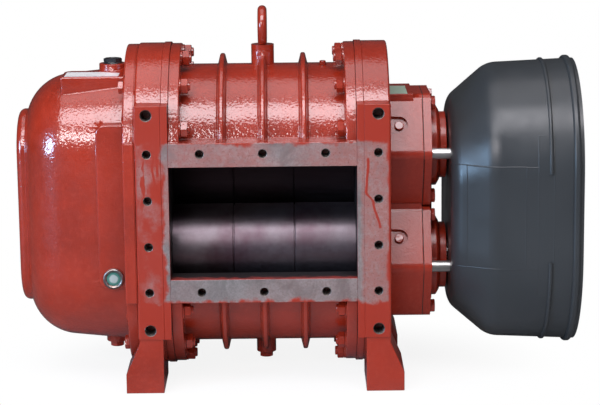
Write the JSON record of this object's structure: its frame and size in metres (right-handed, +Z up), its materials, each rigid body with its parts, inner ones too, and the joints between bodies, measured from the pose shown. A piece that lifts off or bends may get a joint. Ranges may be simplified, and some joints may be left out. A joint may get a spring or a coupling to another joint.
{
  "type": "roots vacuum pump",
  "caption": "Two-lobe rotary blower in a ribbed casing with rectangular ports front and back, an oil bath gear cover, four feet, a lifting eye and a bell guard round the drive shaft.",
  "frame": {"origin": "centre of the four foot bolt holes, on the floor under the middle of the casing", "axes": "+X along the shafts towards the drive end, -Y out of the inlet port, +Z up"},
  "size_m": [0.7335, 0.284, 0.487],
  "materials": {
    "red_paint": "semi-gloss oxide red enamel over cast iron",
    "rotor_steel": "machined, dark and slightly tinted",
    "shaft_steel": "ground and oiled",
    "bearing_steel": "ground",
    "zinc_plate": "bright zinc plate",
    "guard_plastic": "satin moulded, dark grey",
    "black_plastic": "moulded",
    "seal_rubber": "moulded nitrile",
    "gasket_paper": "compressed fibre",
    "sight_glass": "clear, oil behind it"
  },
  "bodies": {
    "housing": {"bearing_cap_lower": "red_paint", "bearing_cap_upper": "red_paint", "bearing_outer_rings_drive": "bearing_steel", "bearing_outer_rings_gear": "bearing_steel", "bearing_retainers": "red_paint", "bearing_rollers_drive": "bearing_steel", "bearing_rollers_gear": "bearing_steel", "cap_bolts": "red_paint", "cap_gaskets": "gasket_paper", "casing": "red_paint", "casing_drain_plug": "red_paint", "casing_port_plug": "red_paint", "cover_drain_plug": "red_paint", "cover_gasket": "gasket_paper", "cover_screws": "red_paint", "dowel_pins": "shaft_steel", "drive_shaft_seal": "seal_rubber", "eye_bolt": "red_paint", "flange_bolts_drive": "red_paint", "flange_bolts_gear": "red_paint", "gear_cover": "red_paint", "guard": "guard_plastic", "guard_screws": "zinc_plate", "guard_spacers": "zinc_plate", "head_drive": "red_paint", "head_gear": "red_paint", "housing_plugs": "red_paint", "oil_filler_plug": "black_plastic", "shaft_seals_drive": "seal_rubber", "shaft_seals_gear": "seal_rubber", "side_plate_drive": "red_paint", "side_plate_gear": "red_paint", "sight_glass_lens": "sight_glass", "sight_glass_ring": "zinc_plate"},
    "drive_rotor": {"bearing_inner_rings_lower": "bearing_steel", "circlip_lower": "shaft_steel", "gear_key_lower": "shaft_steel", "locknut_lower": "shaft_steel", "oil_slinger": "shaft_steel", "rotor_lower": "rotor_steel", "shaft_lower": "shaft_steel", "timing_gear_lower": "shaft_steel"},
    "driven_rotor": {"bearing_inner_rings_upper": "bearing_steel", "circlip_upper": "shaft_steel", "gear_key_upper": "shaft_steel", "gear_washer_upper": "shaft_steel", "locknut_upper": "shaft_steel", "rotor_upper": "rotor_steel", "shaft_upper": "shaft_steel", "timing_gear_upper": "shaft_steel"}
  },
  "joints": [
    {"name": "drive_shaft_spin", "type": "hinge", "parent": "housing", "child": "drive_rotor", "pos_m": [0, 0, 0.149], "axis": [1, 0, 0], "continuous": true},
    {"name": "driven_shaft_spin", "type": "hinge", "parent": "housing", "child": "driven_rotor", "pos_m": [0, 0, 0.299], "axis": [1, 0, 0], "continuous": true}
  ],
  "couplings": [
    {"joint": "driven_shaft_spin", "follows": "drive_shaft_spin", "ratio": -1}
  ]
}
